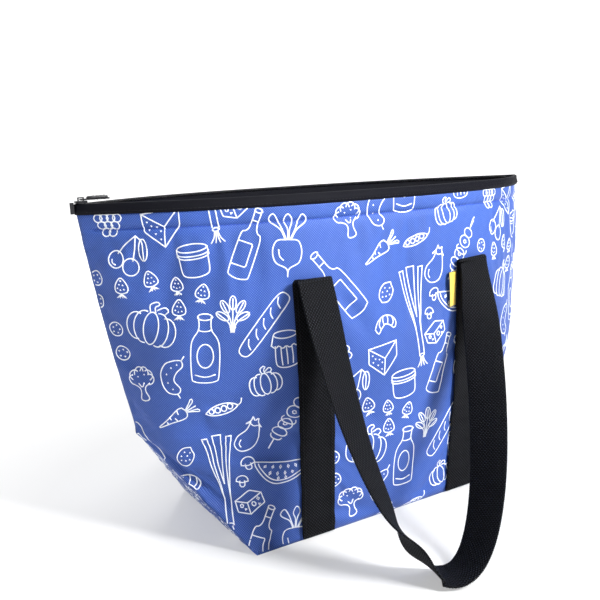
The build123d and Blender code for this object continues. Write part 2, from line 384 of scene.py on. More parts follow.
def wall_point(side, along, z, lift=0.0):
    """A point of a wall's outside, by its distance along the cloth and its height."""
    along, z = np.broadcast_arrays(np.asarray(along, float), np.asarray(z, float))
    point, outward = surfaces[side].at(row_of(z), (along / span(z) + 1) / 2 * COLS)
    edge = smooth((span(z) - np.abs(along)) / EDGE_FADE)
    depth = hollow(side, along, z) * edge * smooth(z / FOOT_FADE)
    depth = depth * smooth((CREASE_Z - z) / CREASE_FADE)
    off_seam = z - SEAM_Z
    sunk = sum(deep * np.exp(-(off_seam / wide) ** 2) for deep, wide in GROOVES)
    pucker = PUCKER * np.sin(along / PUCKER_RUN) * np.exp(-(off_seam / PUCKER_REACH) ** 2)
    return point + outward * (depth + (pucker - sunk) * edge + lift)[..., None]


def foam_depth(z):
    """Thickness of the core, squashed flat under the top seam."""
    return lerp(FOAM_T, THIN_FOAM, smooth((z - CREASE_Z) / (THIN_Z - CREASE_Z)))


# ---- mesh pieces ----
def finish_piece(obj, finish, body="bag", uv=None):
    if uv is not None:
        layer = obj.data.uv_layers.new(name="cloth")
        corner = np.zeros(len(obj.data.loops), np.int32)
        obj.data.loops.foreach_get("vertex_index", corner)
        layer.data.foreach_set("uv", np.asarray(uv, np.float32)[corner].ravel())
    obj.data.materials.append(finish)
    obj.data.polygons.foreach_set("use_smooth", [True] * len(obj.data.polygons))
    if body:
        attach(obj, body)
    return obj


def slab(name, outer, inner, uv, flip=False):
    """Closed solid between two grids of points that match."""
    rows, cols = outer.shape[:2]
    ids = np.arange(rows * cols).reshape(rows, cols)
    far = ids + rows * cols
    polygons = quads(ids, flip) + quads(far, not flip)
    ring = [*ids[0, :-1], *ids[:-1, -1], *ids[-1, :0:-1], *ids[:0:-1, 0]]
    for a, b in zip(ring, ring[1:] + ring[:1]):
        side = [a, a + rows * cols, b + rows * cols, b]
        polygons.append(side[::-1] if flip else side)
    points = np.concatenate([outer.reshape(-1, 3), inner.reshape(-1, 3)])
    _, seen, back_to = np.unique(np.round(points, 7), axis=0, return_index=True,
                                 return_inverse=True)
    back_to = back_to.ravel()
    merged = closed_up([int(back_to[i]) for i in p] for p in polygons)
    flat = np.concatenate([uv.reshape(-1, 2), uv.reshape(-1, 2)])[seen]
    return mesh_object(name, points[seen], merged), flat


def tube_faces(rings, per, base=0):
    """Faces of a tube with closed ends: rings of points, per in each, numbered from base."""
    out = []
    for r in range(rings - 1):
        for k in range(per):
            m = (k + 1) % per
            a = base + r * per
            out.append((a + k, a + m, a + per + m, a + per + k))
    out.append(tuple(base + k for k in reversed(range(per))))
    out.append(tuple(base + (rings - 1) * per + k for k in range(per)))
    return out


# ---- materials ----
WEAVE = 2.0 * MM         # period of the printed cloth's weave
RIB = 1.5 * MM           # spacing of the webbing's ribs
YARN = 2.7 * MM          # length of one float of its yarn
TWILL = 1.1 * MM         # spacing of the tape's slanting lines
LABEL_YARN = 0.55 * MM
LABEL_MIDDLE = 15.5 * MM
LABEL_END_SHADOW = (14.9 * MM, 15.2 * MM)        # where the painted shadow along the top and bottom edges starts, up or down from the middle
LABEL_FREE_SHADOW = (10.3 * MM, 10.6 * MM)           # and where that along the free edge starts, out from the seam
DEEP_BLUE = (0.015, 0.045, 0.25, 1)
BLUE = (0.026, 0.072, 0.36, 1)
PALE_BLUE = (0.128, 0.245, 0.60, 1)
# colour of the painted shadow round the label's raised edges
EDGE_SHADOW_COLOUR = (0.02, 0.02, 0.02, 1)
PAPER_GREY = (0.5, 0.5, 0.5, 1)
TONES = {                # darkest and palest colour
    "fabric_ink": ((0.74, 0.79, 0.90, 1), (0.95, 0.97, 1, 1)),
    "webbing_nylon": ((0.0003, 0.0003, 0.0006, 1), (0.020, 0.022, 0.029, 1)),
    "tape_nylon": ((0.0006, 0.0006, 0.0020, 1), (0.0036, 0.0040, 0.0092, 1)),
    "coil_plastic": ((0.008, 0.008, 0.010, 1), (0.020, 0.021, 0.024, 1)),
    "zip_metal": ((0.006, 0.006, 0.009, 1), (0.03, 0.03, 0.036, 1)),
    "foil_lining": ((0.60, 0.61, 0.63, 1), (0.80, 0.81, 0.83, 1)),
    "foam_white": ((0.82, 0.82, 0.80, 1), (0.92, 0.92, 0.90, 1)),
    "label_satin": ((0.74, 0.48, 0.04, 1), (0.90, 0.64, 0.07, 1)),
    "black_thread": ((0.004, 0.004, 0.006, 1), (0.011, 0.011, 0.015, 1)),
    "blue_thread": ((0.03, 0.07, 0.42, 1), (0.05, 0.12, 0.58, 1)),
}


class Shade:
    """A Principled material and short ways to wire nodes into it."""

    def __init__(self, name, **sockets):
        self.name = name
        self.material = bpy.data.materials.new(name)
        self.material.use_nodes = True
        self.tree = self.material.node_tree
        shader = self.tree.nodes["Principled BSDF"]
        self.sockets = shader.inputs
        for socket, value in sockets.items():
            self.set(socket.replace("_", " "), value)

    def feed(self, target, value):
        if isinstance(value, bpy.types.NodeSocket):
            self.tree.links.new(value, target)
        else:
            target.default_value = value

    def set(self, socket, value):
        self.feed(self.sockets[socket], value)

    def node(self, kind, inputs, **settings):
        made = self.tree.nodes.new(kind)
        for key, value in settings.items():
            setattr(made, key, value)
        for key, value in inputs.items():
            self.feed(made.inputs[key], value)
        return made

    def math(self, operation, a, b=0.0):
        return self.node("ShaderNodeMath", {0: a, 1: b}, operation=operation).outputs[0]

    def wave(self, along, period):
        return self.math("SINE", self.math("MULTIPLY", along, 2 * math.pi / period))

    def flat(self):
        """The two flat distances of the cloth."""
        uv = self.node("ShaderNodeUVMap", {}, uv_map="cloth").outputs[0]
        return tuple(self.node("ShaderNodeSeparateXYZ", {0: uv}).outputs)[:2]

    def place(self):
        return self.node("ShaderNodeTexCoord", {}).outputs["Object"]

    def noise(self, scale, detail=3.0, rough=0.55):
        inputs = {"Vector": self.place(), "Scale": scale, "Detail": detail, "Roughness": rough}
        return self.node("ShaderNodeTexNoise", inputs).outputs[0]

    def mix(self, share, a, b):
        inputs = {0: share, 6: a, 7: b}
        return self.node("ShaderNodeMix", inputs, data_type="RGBA").outputs[2]

    def ramp(self, share, low, high, start=0.0, end=1.0):
        inputs = {0: share, 1: low, 2: high, 3: start, 4: end}
        return self.node("ShaderNodeMapRange", inputs).outputs[0]

    def bump(self, height, distance, strength, under=None):
        inputs = {"Height": height, "Distance": distance, "Strength": strength}
        if under is not None:
            inputs["Normal"] = under
        return self.node("ShaderNodeBump", inputs).outputs[0]

    def done(self, share, normal=None):
        """The material, coloured between its two tones by share."""
        self.set("Base Color", self.mix(share, *TONES[self.name]))
        if normal is not None:
            self.set("Normal", normal)
        return self.material


def weave(shade):
    """Height of a plain weave: raised crossings on the diagonals."""
    u, v = shade.flat()
    product = shade.math("MULTIPLY", shade.wave(u, WEAVE), shade.wave(v, WEAVE))
    return shade.math("ADD", shade.math("MULTIPLY", product, 0.5), 0.5)


def printed_fabric():
    """Blue cloth, cloudy in the large, whose weave shows pale where its yarns cross."""
    s = Shade("printed_fabric", Roughness=0.5, Specular_IOR_Level=0.25)
    cross = weave(s)
    base = s.mix(s.ramp(s.noise(9.0, 4.0), 0.35, 0.68), DEEP_BLUE, BLUE)
    knots = s.ramp(cross, 0.35, 0.95)
    s.set("Base Color", s.mix(s.math("MULTIPLY", knots, 0.62), base, PALE_BLUE))
    slub = s.math("MULTIPLY", s.noise(420.0, 2.0), 0.4)
    rough = s.bump(s.math("ADD", cross, slub), 0.3 * MM, 0.8)
    s.set("Normal", s.bump(s.noise(17.0, 3.0), 5.0 * MM, 0.6, rough))
    return s.material


def fabric_ink():
    s = Shade("fabric_ink", Roughness=0.6, Specular_IOR_Level=0.3)
    cross = weave(s)
    return s.done(cross, s.bump(cross, 0.15 * MM, 0.5))


def webbing_nylon():
    """Rows of short yarn floats, each row half a float along from the last; each float's crown is
    painted lighter than its hollows, a painted highlight.
    """
    s = Shade("webbing_nylon", Roughness=0.6, Specular_IOR_Level=0.08)
    u, v = s.flat()
    row_wave = s.math("COSINE", s.math("MULTIPLY", v, math.pi / RIB))
    yarn = s.math("COSINE", s.math("MULTIPLY", u, 2 * math.pi / YARN))
    # the float pattern is the weave; its lighter crowns, where the bump is highest, are painted
    # highlight
    cell = s.ramp(s.math("MULTIPLY", row_wave, yarn), -1.0, 1.0)
    fleck = s.noise(900.0, 2.0)
    speck = s.math("ADD", s.math("MULTIPLY", fleck, 0.6), 0.6)
    shade = s.math("MULTIPLY", s.ramp(cell, 0.5, 0.9), speck)
    return s.done(shade, s.bump(fleck, 0.12 * MM, 0.4, s.bump(cell, 0.5 * MM, 1.0)))


def tape_nylon():
    s = Shade("tape_nylon", Roughness=0.6, Specular_IOR_Level=0.12)
    u, v = s.flat()
    slant = s.wave(s.math("ADD", u, s.math("ABSOLUTE", v)), TWILL)
    return s.done(s.ramp(slant, -1.0, 1.0), s.bump(slant, 0.16 * MM, 0.6))


def coil_plastic():
    s = Shade("coil_plastic", Roughness=0.32, Specular_IOR_Level=0.5)
    return s.done(s.noise(300.0))


def zip_metal():
    s = Shade("zip_metal", Roughness=0.45, Specular_IOR_Level=0.3)
    worn = s.ramp(s.noise(260.0, 4.0, 0.7), 0.56, 0.74)
    return s.done(worn, s.bump(s.noise(900.0, 2.0), 0.05 * MM, 0.4))


def foil_lining():
    s = Shade("foil_lining", Metallic=0.9, Roughness=0.3, Specular_IOR_Level=0.5)
    folds = s.noise(70.0, 5.0, 0.62)
    fine = s.node("ShaderNodeTexVoronoi", {"Scale": 150.0}, feature="DISTANCE_TO_EDGE").outputs[0]
    first = s.bump(folds, 2.2 * MM, 0.8)
    return s.done(folds, s.bump(s.ramp(fine, 0.0, 0.18), 0.3 * MM, 0.5, first))


def foam_white():
    s = Shade("foam_white", Roughness=0.8, Subsurface_Weight=0.1)
    cell = s.node("ShaderNodeTexVoronoi", {"Scale": 900.0}).outputs[0]
    return s.done(cell, s.bump(cell, 0.3 * MM, 0.5))


def label_satin():
    """Yellow satin with a dark edge on three sides: painted shadow round the edges that stand off
    the wall.
    """
    s = Shade("label_satin", Roughness=0.42, Sheen_Weight=0.3)
    u, v = s.flat()
    yarn = s.wave(v, LABEL_YARN)
    yellow = s.mix(s.ramp(yarn, -1.0, 1.0), *TONES["label_satin"])
    middle = s.math("ABSOLUTE", s.math("SUBTRACT", v, LABEL_MIDDLE))
    # the dark edge on three sides is painted shadow, not part of the label's cloth
    edge_shadow = s.math("MAXIMUM", s.ramp(middle, *LABEL_END_SHADOW), s.ramp(u, *LABEL_FREE_SHADOW))
    s.set("Base Color", s.mix(edge_shadow, yellow, EDGE_SHADOW_COLOUR))
    s.set("Normal", s.bump(yarn, 0.08 * MM, 0.6))
    return s.material


def thread(name):
    s = Shade(name, Roughness=0.6, Specular_IOR_Level=0.15)
    return s.done(s.noise(1200.0), s.bump(s.noise(2500.0, 2.0), 0.05 * MM, 0.5))


FABRIC = printed_fabric()
INK = fabric_ink()
WEBBING = webbing_nylon()
TAPE = tape_nylon()
COIL = coil_plastic()
METAL = zip_metal()
FOIL = foil_lining()
FOAM = foam_white()
LABEL = label_satin()
BLACK_THREAD = thread("black_thread")
BLUE_THREAD = thread("blue_thread")


# ---- wall panels ----
FOIL_FOLD = 1.1 * MM
FOLD_SIZES = ((26 * MM, 3.0), (11 * MM, 7.0))    # size and seed of the large and small crumples
FOIL_TOP, FOIL_FOOT, FOIL_SIDE = 20 * MM, 14 * MM, 20 * MM


def wall_samples(top):
    even = np.linspace(0, top, round(top / STEP) + 1)
    close = SEAM_Z + FINE_STEP * np.arange(-4, 5)
    levels = [even[np.abs(even - SEAM_Z) > 5 * FINE_STEP], close[close < top - 0.5 * FINE_STEP],
              [top]]
    cols = round(2 * SPANS.max() / STEP) + 1
    z = np.unique(np.concatenate(levels))[:, None] * np.ones(cols)
    return np.linspace(-1, 1, cols) * span(z), z


def drawn_in(along, z):
    """The same grid with its foot lifted and narrowed, clear of the corners of the shell."""
    low = 1 - smooth(z / CORNER)
    return along * (1 - CORNER_DRAW * low), z + CORNER_LIFT * (1 - z / CORNER) * (z < CORNER)


def foil_fold(side, along, z):
    """Crumples of the foil, inward only, which fade towards its edges."""
    skin = wall_point(side, along, z)
    large, small = (noise_of(skin, size, seed) for size, seed in FOLD_SIZES)
    fold = FOIL_FOLD * (large + 0.5 * small)
    fold = fold * smooth((WALL_TOP - z) / FOIL_TOP) * smooth(z / FOIL_FOOT)
    return np.minimum(fold * smooth((span(z) - np.abs(along)) / FOIL_SIDE), 0.0)


def wall_layer(side, node, suffix, grid, near, deep, finish):
    """One layer of a wall, between two depths below the outside of the cloth."""
    along, z = grid
    outer, inner = (wall_point(side, along, z, -depth) for depth in (near, deep))
    obj, flat = slab(f"{node}_{suffix}", outer, inner, np.stack([along, z], -1), side == "back")
    finish_piece(obj, finish, uv=flat)
    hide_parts(node)
    return obj


for side in SIDES:
    grid = wall_samples(SKIN_TOP)
    obj = wall_layer(side, f"shell_{side}", "cloth", grid, 0.0, SHELL_T, FABRIC)

    grid = drawn_in(*wall_samples(WALL_TOP))
    depth = SHELL_T + foam_depth(grid[1]) + FOIL_GAP - foil_fold(side, *grid)
    obj = wall_layer(side, f"lining_{side}", "foil", grid, depth, depth + LINING_T, FOIL)

    grid = drawn_in(*wall_samples(TAPE_FOOT))
    depth = SHELL_T + foam_depth(grid[1]) - FOAM_GAP
    obj = wall_layer(side, f"foam_{side}", "core", grid, SHELL_T + FOAM_GAP, depth, FOAM)


# ---- base panel ----
def base_point(row, col, lift=0.0):
    point, outward = surfaces["base"].at(row, col)
    return point + outward * np.asarray(lift)[..., None]


last_row = index["base"].shape[0] - 1
row, col = np.meshgrid(np.linspace(0, last_row, 2 * last_row + 1),
                       np.linspace(0, DEEP, 2 * DEEP + 1), indexing="ij")
under = base_point(row, col)
spine = travelled(under[:, DEEP])
spine -= spine[-1] / 2
base_uv = np.stack([np.broadcast_to(spine[:, None], row.shape), under[..., 1]], -1)
foil_top = SHELL_T + FOAM_T + FOIL_GAP
for name, node, top, bottom, finish, slot in (
        ("shell_base_cloth", "shell_base", 0.0, SHELL_T, FABRIC, "printed_fabric"),
        ("foam_base_core", "foam_base", SHELL_T + FOAM_GAP, SHELL_T + FOAM_T - FOAM_GAP, FOAM,
         "foam"),
        ("lining_base_foil", "lining_base", foil_top, foil_top + LINING_T, FOIL, "foil_lining")):
    share = 1 if slot == "printed_fabric" else BASE_INNER
    across = DEEP / 2 + share * (col - DEEP / 2)
    obj, flat = slab(name, base_point(row, across, -top), base_point(row, across, -bottom),
                     base_uv, True)
    finish_piece(obj, finish, uv=flat)
    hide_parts(node)


# ---- printed drawings: plain groceries in single strokes, in millimetres ----
def points_of(path):
    """Points from a run of "x,y" pairs, or points as they are."""
    if isinstance(path, str):
        return [tuple(map(float, pair.split(","))) for pair in path.split()]
    return path


def oval(x, y, rx, ry, start=0, stop=360, lean=0):
    angle = np.radians(np.linspace(start, stop, 33))
    c, s = math.cos(math.radians(lean)), math.sin(math.radians(lean))
    p = np.stack([rx * np.cos(angle), ry * np.sin(angle)], 1)
    return p @ np.array([[c, s], [-s, c]]) + (x, y)


def line(path):
    return np.array(points_of(path), float)


def curve(path):
    p = points_of(path)
    p = np.array([p[0], *p, p[-1]], float)
    f = np.linspace(0, 1, 8, endpoint=False)[:, None]
    w = Surface.weights(f)
    runs = [sum(w[k] * p[i + k] for k in range(4)) for i in range(len(p) - 3)]
    return np.concatenate([*runs, p[-1:]])


def mirrored(path):
    """A curve whose left half is the path, down to its point on the middle line."""
    left = points_of(path)
    return curve([*left, *((-x, y) for x, y in reversed(left[:-1]))])


def dots(path, r=0.35):
    return [oval(x, y, r, r, 0, 300) for x, y in points_of(path)]


PUMPKIN = [oval(0, 0, 6, 13), oval(-6, 0, 8, 13, 78, 282), oval(6, 0, 8, 13, -102, 102),
           oval(-12, -0.5, 8, 11, 72, 288), oval(12, -0.5, 8, 11, -108, 108),
           curve("-2,13 -3,18 2,21 4,19 1,17 2,13"), curve("3,15 8,18 11,16 9,13")]
JAR = [mirrored("-12.5,5 -12,-8 -9,-12 0,-13.5"), oval(0, 11, 13, 3.4),
       oval(0, 7.5, 13.5, 3.4, 180, 360), oval(0, 5, 13.5, 3.4, 180, 360),
       line("-13,11 -13.5,5"), line("13,11 13.5,5")]
BOTTLE = [mirrored("-3,31 -3,17 -5,12 -9,7 -9.5,-25 -7,-29 0,-30.5"), oval(0, 31.5, 3.6, 2),
          line("-3,22 3,22"), line("-9.3,2 4,2 4,-19 -9.4,-19")]
MILK_BOTTLE = [mirrored("-5,28 -5,18 -11,6 -11,-22 -8,-26 0,-27"), oval(0, 28, 6, 2.6),
               oval(0, -4, 6.5, 10), oval(0, 18, 5, 1.6, 180, 360), mirrored("-8,-20 0,-22")]
BEET = [curve("-2,10 -9,9 -12,1 -9,-8 0,-13 1,-20 2,-13 10,-8 12,1 9,9 2,10"),
        *(curve([(x, 10), (x * 3, 18), (x * 6 - 3, 25), (x * 6, 30), (x * 6 + 4, 25),
                 (x * 3 + 1.5, 18), (x + 1, 10)]) for x in (-2, 0, 2)),
        curve("-7,2 -6,-3 -3,-6")]
BROCCOLI = [*(oval(9.5 * math.cos(a), 4 + 7 * math.sin(a), 5, 5, math.degrees(a) - 95,
                   math.degrees(a) + 95) for a in np.radians([-10, 25, 62, 100, 138, 178])),
            mirrored("-9,-1 -4,-4 -3,-9 -5,-16 0,-18"), mirrored("-3,0 0,-4"), *dots("-3,7 4,8")]
LEEK = [*(curve([(x, 46), (x * 0.7, 25), (x * 0.35 + s, 2), (3 * s, -20), (3 * s, -42)])
          for s, ends in ((-1, (-14, -9)), (1, (9, 14))) for x in ends),
        curve("-4,48 -2,20 0,-2"), curve("4,48 2,20 0,-2"), line("-14,46 -9,46"),
        line("9,46 14,46"), line("-4,48 4,48"), oval(0, -42, 3, 1.6),
        *(curve([(x / 2, -44), (x, -49), (x * 2, -53)]) for x in (-3, -1, 1, 3))]
AUBERGINE = [curve("-4,15 -6,6 -13,-4 -12,-14 -3,-19 7,-15 11,-4 8,8 5,15"),
             curve("-5,14 -9,11 -4,17 -3,22 0,18 3,22 4,17 9,12 5,14 0,12 -5,14"),
             curve("-8,-6 -8,-11 -5,-14")]
SKEWER = [line("-1,36 0,25 1,36"), line("0,40 -1,36"), line("0,-27 0,-38"), oval(0, 20, 7, 5),
          oval(0, 9, 8.5, 6.5), oval(0, 9, 2.4, 1.8), oval(0, -1, 9, 4.5, 150, 390),
          oval(0, -7, 8, 6.5), oval(0, -7, 2.2, 1.8), oval(0, -17, 8.5, 4.5),
          oval(0, -23, 6, 4, 180, 360)]
MELON_SLICE = [line("-28,9 28,9"), oval(0, 9, 28, 23, 180, 360), oval(0, 9, 24.5, 19.5, 182, 358),
               *(oval(x, y, 0.9, 2, 0, 360, x * 2) for x, y in points_of(
                   "-18,4 -10,4 -2,4 6,4 14,4 -13,-3 -5,-3 3,-3 11,-3 -4,-8 4,-8"))]
MUSHROOM = [oval(0, 1, 7.5, 6.5, -8, 188), mirrored("-7.5,0 0,-2"), mirrored("-3,0 -3,-6 0,-8")]
BERRY = [oval(0, 0, 6.2, 6.6), *dots("-3,2.5 1,3 3.5,0 -3,-2 0.5,-3.5", 0.45)]
PRESERVE = [mirrored("-9,3 -9.5,-8 -8,-13 0,-15"), mirrored("-12,4 -9,1.5 -6,3.5 -3,1 0,3"),
            oval(0, 12, 9.5, 3), line("-9.5,12 -12,4"), line("9.5,12 12,4"),
            *(curve([(x, 2), (x * 1.05, -6), (x, -12)]) for x in (-4.5, 0, 4.5))]
CROISSANT = [curve("-13,-2 -9,5 0,8 9,5 13,-2 10,-7 6,-3 0,0 -6,-3 -10,-7 -13,-2"),
             curve("-7,-3 -8,2 -5,6.5"), curve("-2,-0.5 -2.5,4 -1,8"), curve("3,-0.8 4.5,3 4,7.5"),
             curve("7.5,-4 10,-1 9.5,4")]
CHEESE_BLOCK = [line("-16,4 4,12 17,6 -3,-2 -16,4"), line("-16,4 -16,-8 -3,-15 -3,-2"),
                line("-3,-15 17,-7 17,6"), oval(4, -5, 2.4, 2.8), oval(11, 0, 1.6, 1.9),
                oval(10, -7, 1.2, 1.4), oval(-10, -3, 1.8, 2.2), oval(-7, -8, 1.0, 1.2)]
CHEESE_WEDGE = [line("-15,10 14,14 2,0 -15,10"), line("-15,10 -14,-3 2,-15 2,0"),
                line("2,-15 14,1 14,14"), *dots("-11,4 -8,1 -4,0 -10,-2 -5,-5 -1,-3 -1,-9")]
CHERRIES = [oval(-9, -8, 7.5, 8), oval(6, -12, 7.5, 8), curve("-8,-2 -2,8 6,17"),
            curve("7,-6 7,5 6,17"), oval(15, 6, 4, 10, 0, 360, 14), curve("6,17 13,12 17,-2"),
            curve("-13,-9 -12,-12 -9,-13")]
STRAWBERRY = [mirrored("0,7 -6,5 -6,-1 0,-8"),
              *(curve([(0, 7), (x, 11), (x * 0.3, 9)]) for x in (-5, -1.5, 2, 5)),
              *dots("-3,3 0.5,3.5 3.5,2 -2,-1 1.5,-1.5 0,-5")]
RASPBERRY = [*(oval(x, y, 3.1, 2.8) for x, y in points_of(
                 "-5,6 0,6 5,6 -7,1 -2.5,1 2.5,1 7,1 -5,-4 0,-4 5,-4 -2.5,-8.5 2.5,-8.5")),
             mirrored("-4,9 0,13")]
BAGUETTE = [curve("-30,0 -27,5 -12,7 12,7 27,5 30,0 27,-5 12,-6 -12,-6 -27,-5 -30,0"),
            *(curve([(x - 2, -3), (x, 1), (x + 4, 4)]) for x in (-20, -10, 0, 10, 20))]
HERB = [*(oval(x, y, 4.2, 9, 0, 360, lean) for x, y, lean in
          ((0, 17, 0), (-10, 12, 32), (10, 12, -32), (-13, 0, 62), (13, 0, -62))),
        *(curve(path) for path in ("0,-20 0,0 0,22", "-1,-20 -3,-4 -13,17", "1,-20 3,-4 13,17",
                                   "-2,-20 -5,-8 -19,3", "2,-20 5,-8 19,3")),
        oval(0, -14, 3.5, 1.6)]
SAUSAGE = [curve("-13,8 -14,-2 -6,-12 8,-13 14,-6 11,-1 2,-2 -3,4 -5,11 -10,13 -13,8"),
           line("-10,13 -12,17"), line("14,-6 18,-6"), *dots("-9,2 -6,-5 1,-8 8,-7 -9,8")]
LEMON = [curve("-10,0 -7,6 0,8 7,6 11,1 12,-1 10,-2 6,-7 -1,-8 -7,-6 -10,0"),
         *dots("-5,2 -1,4 4,3 -3,-2 2,-1 6,-2 0,-5")]
CARROT = [curve("-6,14 -7,8 -3,-8 0,-24 3,-8 7,8 6,14 0,16 -6,14"), line("-6,7 -2,6"),
          line("5,1 1,0"), line("-4,-5 -1,-5"), line("2,-11 0,-11"),
          *(curve([(x / 4, 16), (x, 24), (x * 1.6, 30), (x * 0.9, 29), (x / 4 + 0.6, 17)])
            for x in (-6, 0.5, 6))]
PEA_POD = [oval(0, 0, 20, 8, 200, 340), oval(0, -6, 20, 9, 20, 160), curve("19,-3 23,-1 25,3"),
           *(oval(x, -2.5 + abs(x) / 12, 3, 3) for x in (-11, -4, 3, 10))]

# one repeat of the print, its drawings placed one by one; the next columns are half a repeat lower
# or higher
REPEAT_X = 181.0
REPEAT_Z = 246.0
PRINT = [                # drawing, middle, turn in degrees, size
    (RASPBERRY, -241, 281, 0, 1.15), (CHERRIES, -228, 255, -14, 0.85),
    (CHEESE_WEDGE, -198, 274, 0, 1.02), (JAR, -175, 247, 6, 0.92), (BOTTLE, -133, 257, -22, 0.88),
    (BEET, -102, 249, -4, 1.0), (PUMPKIN, -214, 195, -14, 1.05), (MILK_BOTTLE, -171, 176, -3, 0.98),
    (HERB, -148, 203, -4, 0.62), (BAGUETTE, -123, 193, 50, 1.0), (PRESERVE, -106, 172, 4, 1.0),
    (PUMPKIN, -124, 145, 12, 0.68), (SAUSAGE, -197, 155, -62, 0.95),
    (BROCCOLI, -228, 148, 12, 0.85), (BOTTLE, -240, 96, 39, 1.04), (LEMON, -193, 84, 62, 0.85),
    (CROISSANT, -195, 58, 10, 0.9), (LEEK, -161, 61, 7, 0.88), (AUBERGINE, -138, 101, -18, 0.8),
    (SKEWER, -105, 112, -34, 0.8), (MELON_SLICE, -112, 68, -3, 0.82),
    (MUSHROOM, -140, 76, 10, 0.75), (MUSHROOM, -146, 60, 0, 0.65),
    (CHEESE_BLOCK, -141, 43, 18, 0.72), (CARROT, -200, 119, -58, 0.72),
    (PEA_POD, -161, 127, 16, 0.72), (STRAWBERRY, -211, 234, 195, 0.85),
    (STRAWBERRY, -235, 229, 178, 0.85), (STRAWBERRY, -191, 229, 185, 0.75),
    (STRAWBERRY, -170, 223, 165, 0.8), (STRAWBERRY, -190, 211, 180, 0.85),
    (BERRY, -258, 235, 0, 0.9), (BERRY, -260, 216, 40, 0.85), (BERRY, -247, 193, 80, 0.95),
    (BERRY, -245, 172, 10, 0.95),
]
INK_HALF = 0.55          # half the width of a printed line
INK_STEP = 1.8
INK_BEAD = ((-1, -0.1), (-0.8, 0.14), (0.8, 0.14), (1, -0.1))    # across in half widths, and up
MOTIF_REACH = 60 * MM    # no drawing reaches further from its middle
EDGE_ROOM = 1.5 * MM     # the print stops this far from a seam
BASE_LIFT = 0.1 * MM


def strokes_on(keep):
    """Every stroke of the repeating print that a panel takes, as points in millimetres."""
    out = []
    for i in range(-1, 4):
        for j in range(-3, 4):
            shift = np.array([REPEAT_X * i, REPEAT_Z / 2 * i + REPEAT_Z * j])
            for motif, x, z, turn, size in PRINT:
                centre = shift + (x, z)
                if not keep(centre[None], MOTIF_REACH).any():
                    continue
                c, s = math.cos(math.radians(turn)), math.sin(math.radians(turn))
                spin = np.array([[c, s], [-s, c]]) * size
                out += [p @ spin + centre for p in motif]
    return out


def resampled(p):
    gone = travelled(p)
    count = max(3, round(gone[-1] / INK_STEP) + 1)
    return at_distances(np.linspace(0, gone[-1], count), gone, p)


def pieces_inside(p, keep):
    """A stroke cut into the runs that lie on the panel."""
    inside = keep(p, 0.0)
    edges = np.flatnonzero(np.diff(np.concatenate([[0], inside.astype(int), [0]])))
    return [p[a:b] for a, b in zip(edges[::2], edges[1::2]) if b - a > 1]


def ink_lines(name, keep, place):
    """Flat beads of ink along every stroke; place puts flat points on the cloth."""
    flats, lifts, polygons, count = [], [], [], 0
    shares, heights = zip(*INK_BEAD)
    for stroke in strokes_on(keep):
        for p in pieces_inside(resampled(stroke), keep):
            along = np.gradient(p, axis=0)
            along /= np.maximum(np.linalg.norm(along, axis=1, keepdims=True), 1e-9)
            across = np.stack([-along[:, 1], along[:, 0]], 1) * INK_HALF
            ends = np.zeros((len(p), 1))
            ends[0], ends[-1] = -0.5, 0.5
            middle = p + along * ends
            flats.append(np.stack([middle + across * k for k in shares], 1).reshape(-1, 2))
            lifts.append(np.tile(heights, len(p)))
            polygons += tube_faces(len(p), len(INK_BEAD), count)
            count += len(INK_BEAD) * len(p)
    flats, lifts = np.concatenate(flats) * MM, np.concatenate(lifts) * MM
    finish_piece(mesh_object(name, place(flats, lifts), polygons), INK, uv=flats)


def wall_keep(p, margin):
    z = p[:, 1] * MM
    inside = (z > EDGE_ROOM - margin) & (z < SKIN_TOP - 0.6 * MM + margin)
    return inside & (np.abs(p[:, 0]) * MM < span(z) - EDGE_ROOM + margin)


def wall_place(side):
    """Puts flat points on the flat-faced cloth that is really there."""
    along, z = wall_samples(SKIN_TOP)
    points, levels = wall_point(side, along, z), z[:, 0]
    cross = np.cross(np.gradient(points, axis=1), np.gradient(points, axis=0))
    cross /= -SIDES[side] * np.linalg.norm(cross, axis=2, keepdims=True)

    def place(flat, lift):
        flat = flat * (-SIDES[side], 1)
        row = np.interp(flat[:, 1], levels, np.arange(len(levels)))
        col = np.clip((flat[:, 0] / span(flat[:, 1]) + 1) / 2, 0, 1) * (points.shape[1] - 1)
        r = np.minimum(row.astype(int), points.shape[0] - 2)
        c = np.minimum(col.astype(int), points.shape[1] - 2)
        fr, fc = (row - r)[:, None], (col - c)[:, None]

        def blend(g):
            return lerp(lerp(g[r, c], g[r, c + 1], fc), lerp(g[r + 1, c], g[r + 1, c + 1], fc), fr)

        return blend(points) + blend(cross) * lift[:, None]

    return place


def base_keep(p, margin):
    along, y = np.abs(p[:, 0]) * MM, np.abs(p[:, 1]) * MM
    room = np.interp(along, spine[len(spine) // 2:], under[len(spine) // 2:, -1, 1])
    return (along < spine[-1] - 4 * MM + margin) & (y < room - EDGE_ROOM + margin)


def base_place(flat, lift):
    row_at = np.interp(flat[:, 0], spine, row[:, 0])
    half = np.interp(flat[:, 0], spine, under[:, -1, 1])
    col_at = (flat[:, 1] / np.maximum(half, 1e-6) + 1) / 2 * DEEP
    return base_point(row_at, col_at, np.minimum(lift, BASE_LIFT))


for side in SIDES:
    ink_lines(f"print_{side}", wall_keep, wall_place(side))
ink_lines("print_base", base_keep, base_place)


# ---- webbing ----
# one face of the webbing: across in half widths, and out in half thicknesses
WEB_FACE = [(-1.0, 0.0), (-0.985, 0.72), (-0.93, 1.0), (-0.6, 1.0), (-0.2, 1.0), (0.2, 1.0),
            (0.6, 1.0), (0.93, 1.0), (0.985, 0.72)]
RIB_HEIGHT = 0.22 * MM
RIB_STEP = RIB / 4
LEG_CLEAR = 0.35 * MM
LEG_FOOT = 0.4 * MM
LEG_CALM, PUSH_REACH, PUSH_CALM = 28, 6, 10      # steps that a leg's line is evened out over
FOLD_R = 2.3 * MM
